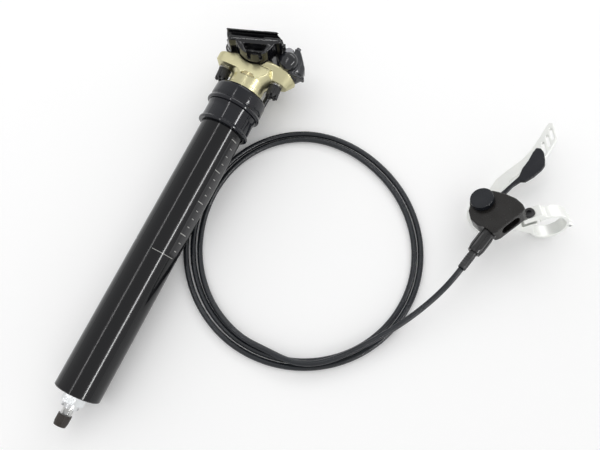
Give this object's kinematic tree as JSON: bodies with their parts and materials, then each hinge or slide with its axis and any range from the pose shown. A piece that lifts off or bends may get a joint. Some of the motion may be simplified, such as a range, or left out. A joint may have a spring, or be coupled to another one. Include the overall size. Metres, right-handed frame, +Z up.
{
  "type": "dropper seatpost",
  "caption": "Telescoping bicycle seatpost with a two-bolt saddle clamp, its coiled control cable and a thumb lever on a hinged handlebar clamp.",
  "frame": {"origin": "on the post's axis, at the bottom face of the lower collar, where the post stops on the frame's seat tube", "axes": "+Z up from the table that the object lies on, +Y towards the saddle clamp, +X towards the remote lever; the post's own axis rises 2.15 degrees from +Y"},
  "size_m": [0.2803, 0.3405, 0.0516],
  "materials": {
    "tube_black": "gloss",
    "collar_black": "gloss",
    "seal_rubber": "matt",
    "foam_grey": "soft foam",
    "bushing_plastic": "matt",
    "key_brass": "satin",
    "plug_aluminium": "dark anodised",
    "nut_silver": "satin",
    "ring_silver": "satin",
    "stem_nickel": "bright",
    "valve_cap_plastic": "matt",
    "index_steel": "ground",
    "ball_steel": "polished",
    "spring_steel": "drawn",
    "post_gold": "hard anodised gold",
    "head_gold": "light champagne satin",
    "clamp_black": "satin gloss",
    "bolt_black": "blackened",
    "fitting_steel": "plain",
    "housing_black": "satin",
    "dome_black": "gloss",
    "screw_grey": "satin",
    "cam_aluminium": "machined",
    "ferrule_black": "matt",
    "wire_steel": "bright",
    "cable_black": "satin",
    "barrel_black": "satin",
    "body_black": "satin",
    "pivot_steel": "satin",
    "cap_black": "gloss",
    "lever_silver": "satin silver",
    "paddle_black": "gloss"
  },
  "bodies": {
    "tube_and_remote": {"lower_tube": "tube_black", "lower_collar": "collar_black", "seal_head": "collar_black", "wiper_seal": "seal_rubber", "foam_ring": "foam_grey", "upper_bushing": "bushing_plastic", "base_plug": "plug_aluminium", "plug_seal": "seal_rubber", "bump_stop": "seal_rubber", "foot_nut": "nut_silver", "lock_ring": "ring_silver", "valve_stem": "stem_nickel", "valve_core": "stem_nickel", "index_tube": "index_steel", "cable_lead": "cable_black", "cable_coil": "cable_black", "cable_tail": "cable_black", "cable_sleeve": "ferrule_black", "lever_body": "body_black", "lever_spring": "spring_steel", "pivot_bolt": "pivot_steel", "pivot_cap": "cap_black", "clamp_base": "lever_silver", "hinge_pin": "fitting_steel"},
    "post": {"post_tube": "post_gold", "post_head": "head_gold", "lower_bushing": "bushing_plastic", "guide_keys": "key_brass", "piston": "plug_aluminium", "piston_rings": "seal_rubber", "lock_balls": "ball_steel", "lock_spring": "spring_steel", "bolt_washers": "fitting_steel", "actuator_housing": "housing_black", "spring_cap": "dome_black", "cover_screw": "screw_grey", "cam_pin": "fitting_steel", "cable_stop": "housing_black", "head_ferrule": "ferrule_black"},
    "lock_rod": {"control_rod": "index_steel", "lock_sleeve": "index_steel"},
    "cam": {"cam_lever": "cam_aluminium"},
    "head_cable_wire": {"head_wire": "wire_steel"},
    "saddle_clamp": {"lower_cradle": "clamp_black", "upper_clamp": "clamp_black"},
    "front_nut": {"front_clamp_nut": "fitting_steel"},
    "rear_nut": {"rear_clamp_nut": "fitting_steel"},
    "front_bolt": {"front_clamp_bolt": "bolt_black"},
    "rear_bolt": {"rear_clamp_bolt": "bolt_black"},
    "thumb_lever": {"main_lever": "lever_silver"},
    "paddle": {"paddle_lever": "paddle_black"},
    "barrel": {"barrel_adjuster": "barrel_black"},
    "lever_cable_wire": {"lever_wire": "wire_steel"},
    "strap": {"clamp_strap": "lever_silver", "bar_bolt": "bolt_black"},
    "dust_cap": {"valve_cap": "valve_cap_plastic"},
    "air_valve_pin": {"valve_pin": "stem_nickel"}
  },
  "joints": [
    {"name": "post_slide", "type": "slide", "parent": "tube_and_remote", "child": "post", "axis": [0, 0.9993, 0.0375], "range_m": [0, 0.125], "deforming": ["cable_lead"]},
    {"name": "main_lever_press", "type": "hinge", "parent": "tube_and_remote", "child": "thumb_lever", "pos_m": [0.1974, 0.0319, -0.01577], "axis": [-0.516, 0.0612, 0.8544], "range_deg": [0, 15], "stiffness_Nm_per_rad": 0.08, "springref_deg": -17.19},
    {"name": "paddle_press", "type": "hinge", "parent": "tube_and_remote", "child": "paddle", "pos_m": [0.1974, 0.0319, -0.01577], "axis": [-0.516, 0.0612, 0.8544], "range_deg": [0, 14], "stiffness_Nm_per_rad": 0.03, "springref_deg": -17.19},
    {"name": "cam_turn", "type": "hinge", "parent": "post", "child": "cam", "pos_m": [0.0228, 0.06276, 0.00235], "axis": [0, -0.0375, 0.9993], "range_deg": [0, 25.4]},
    {"name": "control_rod_push", "type": "slide", "parent": "post", "child": "lock_rod", "axis": [0, -0.9993, -0.0375], "range_m": [0, 0.0057], "deforming": ["lock_spring"]},
    {"name": "head_wire_pull", "type": "slide", "parent": "post", "child": "head_cable_wire", "axis": [0, -0.9993, -0.0375], "range_m": [0, 0.0043]},
    {"name": "lever_wire_pull", "type": "slide", "parent": "tube_and_remote", "child": "lever_cable_wire", "axis": [0.2294, 0.9709, 0.069], "range_m": [0, 0.0043]},
    {"name": "barrel_turn", "type": "hinge", "parent": "tube_and_remote", "child": "barrel", "pos_m": [0.20015, 0.01273, 0.00061], "axis": [-0.2294, -0.9709, -0.069], "continuous": true},
    {"name": "saddle_tilt", "type": "hinge", "parent": "post", "child": "saddle_clamp", "pos_m": [-0.004, 0.06645, 0.00249], "axis": [0, -0.0375, 0.9993], "range_deg": [-6, 6]},
    {"name": "front_nut_travel", "type": "slide", "parent": "post", "child": "front_nut", "axis": [-0.0872, 0.9955, 0.0374], "range_m": [-0.0023, 0.0023]},
    {"name": "rear_nut_travel", "type": "slide", "parent": "post", "child": "rear_nut", "axis": [-0.0872, 0.9955, 0.0374], "range_m": [-0.00195, 0.00195]},
    {"name": "front_bolt_turn", "type": "hinge", "parent": "post", "child": "front_bolt", "pos_m": [0.0193, 0.04797, 0.0018], "axis": [-0.0872, 0.9955, 0.0374], "continuous": true},
    {"name": "rear_bolt_turn", "type": "hinge", "parent": "post", "child": "rear_bolt", "pos_m": [-0.02052, 0.04437, 0.00167], "axis": [-0.0872, 0.9955, 0.0374], "continuous": true},
    {"name": "strap_open", "type": "hinge", "parent": "tube_and_remote", "child": "strap", "pos_m": [0.24891, 0.04936, -0.00947], "axis": [-0.4698, 0.8138, -0.342], "range_deg": [0, 65]},
    {"name": "valve_cap_off", "type": "slide", "parent": "tube_and_remote", "child": "dust_cap", "axis": [0, -0.9993, -0.0375], "range_m": [0, 0.012]},
    {"name": "valve_pin_press", "type": "slide", "parent": "tube_and_remote", "child": "air_valve_pin", "axis": [0, 0.9993, 0.0375], "range_m": [0, 0.0012], "stiffness_N_per_m": 60, "springref_m": -0.001}
  ],
  "couplings": [
    {"joint": "cam_turn", "follows": "main_lever_press", "ratio": 1.6875},
    {"joint": "control_rod_push", "follows": "main_lever_press", "m_per_rad": 0.0216},
    {"joint": "head_wire_pull", "follows": "main_lever_press", "m_per_rad": 0.0162},
    {"joint": "lever_wire_pull", "follows": "main_lever_press", "m_per_rad": 0.0162},
    {"joint": "front_nut_travel", "follows": "saddle_tilt", "m_per_rad": 0.0216},
    {"joint": "rear_nut_travel", "follows": "saddle_tilt", "m_per_rad": -0.01838}
  ]
}
